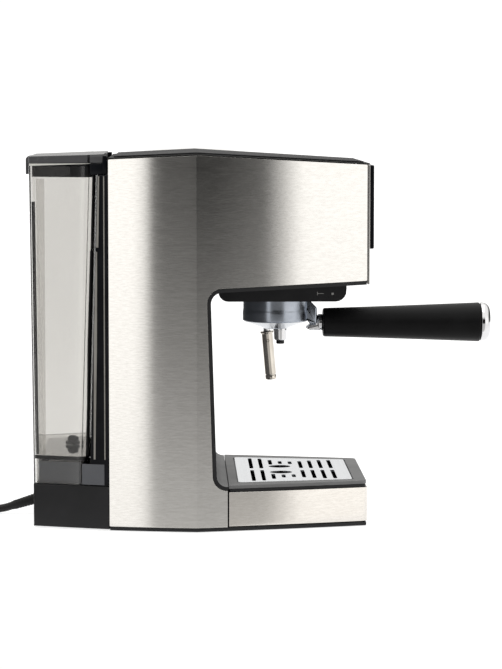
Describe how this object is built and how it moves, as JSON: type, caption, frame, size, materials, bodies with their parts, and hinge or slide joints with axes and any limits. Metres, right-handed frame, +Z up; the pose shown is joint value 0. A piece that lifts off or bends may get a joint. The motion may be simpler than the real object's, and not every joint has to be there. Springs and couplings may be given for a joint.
{
  "type": "espresso machine",
  "caption": "Pump espresso machine with rear water tank, portafilter, steam wand and drip tray drawer.",
  "frame": {"origin": "centre of the footprint box of the machine without its mains lead, on the surface it stands on", "axes": "+Z up, -Y out of the machine's front towards the portafilter handle's end, +X to the machine's right-hand side with the steam wand"},
  "size_m": [0.204, 0.5112, 0.3048],
  "materials": {
    "brushed_steel": "horizontally brushed, satin",
    "black_plastic": "fine-grained satin black",
    "dark_grey_plastic": "satin dark grey",
    "gloss_black": "polished black",
    "smoked_clear": "clear, lightly smoked",
    "cast_aluminium": "cast and polished",
    "chrome": "mirror polished",
    "grille_steel": "bright, lightly brushed",
    "brass": "turned",
    "rubber": "matte black",
    "silicone": "translucent white",
    "board_green": "circuit board",
    "lamp_lens": "translucent orange"
  },
  "bodies": {
    "machine": {"base_plate": "black_plastic", "foot_1": "rubber", "foot_2": "rubber", "foot_3": "rubber", "foot_4": "rubber", "rear_base_block": "black_plastic", "left_side_panel": "brushed_steel", "right_side_panel": "brushed_steel", "cup_space_liner": "black_plastic", "top_cover": "black_plastic", "warming_plate": "black_plastic", "rear_cover": "black_plastic", "front_panel": "brushed_steel", "control_plate": "gloss_black", "indicator_light_1": "lamp_lens", "indicator_light_2": "lamp_lens", "control_board": "board_green", "group_collar": "black_plastic", "brew_head": "cast_aluminium", "head_gasket": "rubber", "shower_screen": "grille_steel", "shower_screw": "chrome", "boiler": "cast_aluminium", "thermostat": "brass", "steam_valve": "brass", "wand_mount": "chrome", "tank_socket": "black_plastic", "pump": "brass", "pump_mount_lower": "rubber", "pump_mount_upper": "rubber", "water_inlet_tube": "silicone", "pressure_tube": "silicone", "steam_tube": "silicone", "cord_gland": "rubber", "power_cord": "rubber", "cord_tail": "rubber", "cord_coil": "rubber", "cord_tie": "black_plastic", "plug": "black_plastic"},
    "portafilter": {"portafilter_cup": "cast_aluminium", "filter_basket": "grille_steel", "spout": "chrome", "spout_outlet": "black_plastic", "ferrule": "chrome", "grip": "black_plastic", "grip_cap": "chrome"},
    "drip_tray": {"tray_band": "brushed_steel", "tray_tub": "black_plastic", "tray_frame": "dark_grey_plastic"},
    "grille": {"drip_grille": "grille_steel"},
    "tank": {"water_tank": "smoked_clear"},
    "tank_lid": {"tank_lid": "black_plastic"},
    "tank_valve": {"tank_valve": "dark_grey_plastic"},
    "steam_knob": {"steam_knob": "black_plastic", "knob_spindle": "brass"},
    "steam_wand": {"steam_wand": "chrome"},
    "froth_sleeve": {"froth_sleeve": "chrome"},
    "power_button": {"power_button": "gloss_black"},
    "brew_button": {"brew_button": "gloss_black"},
    "steam_button": {"steam_button": "gloss_black"}
  },
  "joints": [
    {"name": "portafilter_turn", "type": "hinge", "parent": "machine", "child": "portafilter", "pos_m": [0, -0.0142, 0.1906], "axis": [0, 0, -1], "range_deg": [0, 45]},
    {"name": "tray_slide", "type": "slide", "parent": "machine", "child": "drip_tray", "axis": [0, -1, 0], "range_m": [0, 0.13]},
    {"name": "grille_lift", "type": "slide", "parent": "drip_tray", "child": "grille", "axis": [0, 0, 1], "range_m": [0, 0.03]},
    {"name": "tank_lift", "type": "slide", "parent": "machine", "child": "tank", "axis": [0, 0, 1], "range_m": [0, 0.27]},
    {"name": "lid_hinge", "type": "hinge", "parent": "tank", "child": "tank_lid", "pos_m": [0, 0.1337, 0.297], "axis": [1, 0, 0], "range_deg": [0, 90]},
    {"name": "tank_valve_lift", "type": "slide", "parent": "tank", "child": "tank_valve", "axis": [0, 0, 1], "range_m": [0, 0.003], "stiffness_N_per_m": 60},
    {"name": "knob_turn", "type": "hinge", "parent": "machine", "child": "steam_knob", "pos_m": [0.07846, -0.0503, 0.25], "axis": [0.9749, -0.2228, 0], "range_deg": [0, 270]},
    {"name": "wand_swing", "type": "hinge", "parent": "machine", "child": "steam_wand", "pos_m": [0.06, -0.0056, 0.1875], "axis": [0, -1, 0], "range_deg": [0, 40]},
    {"name": "sleeve_pull", "type": "slide", "parent": "steam_wand", "child": "froth_sleeve", "axis": [0, -0.0877, -0.9962], "range_m": [0, 0.045]},
    {"name": "power_press", "type": "slide", "parent": "machine", "child": "power_button", "axis": [0, 1, 0], "range_m": [0, 0.0018], "stiffness_N_per_m": 300},
    {"name": "brew_press", "type": "slide", "parent": "machine", "child": "brew_button", "axis": [0, 1, 0], "range_m": [0, 0.0018], "stiffness_N_per_m": 300},
    {"name": "steam_press", "type": "slide", "parent": "machine", "child": "steam_button", "axis": [0, 1, 0], "range_m": [0, 0.0018], "stiffness_N_per_m": 300}
  ]
}
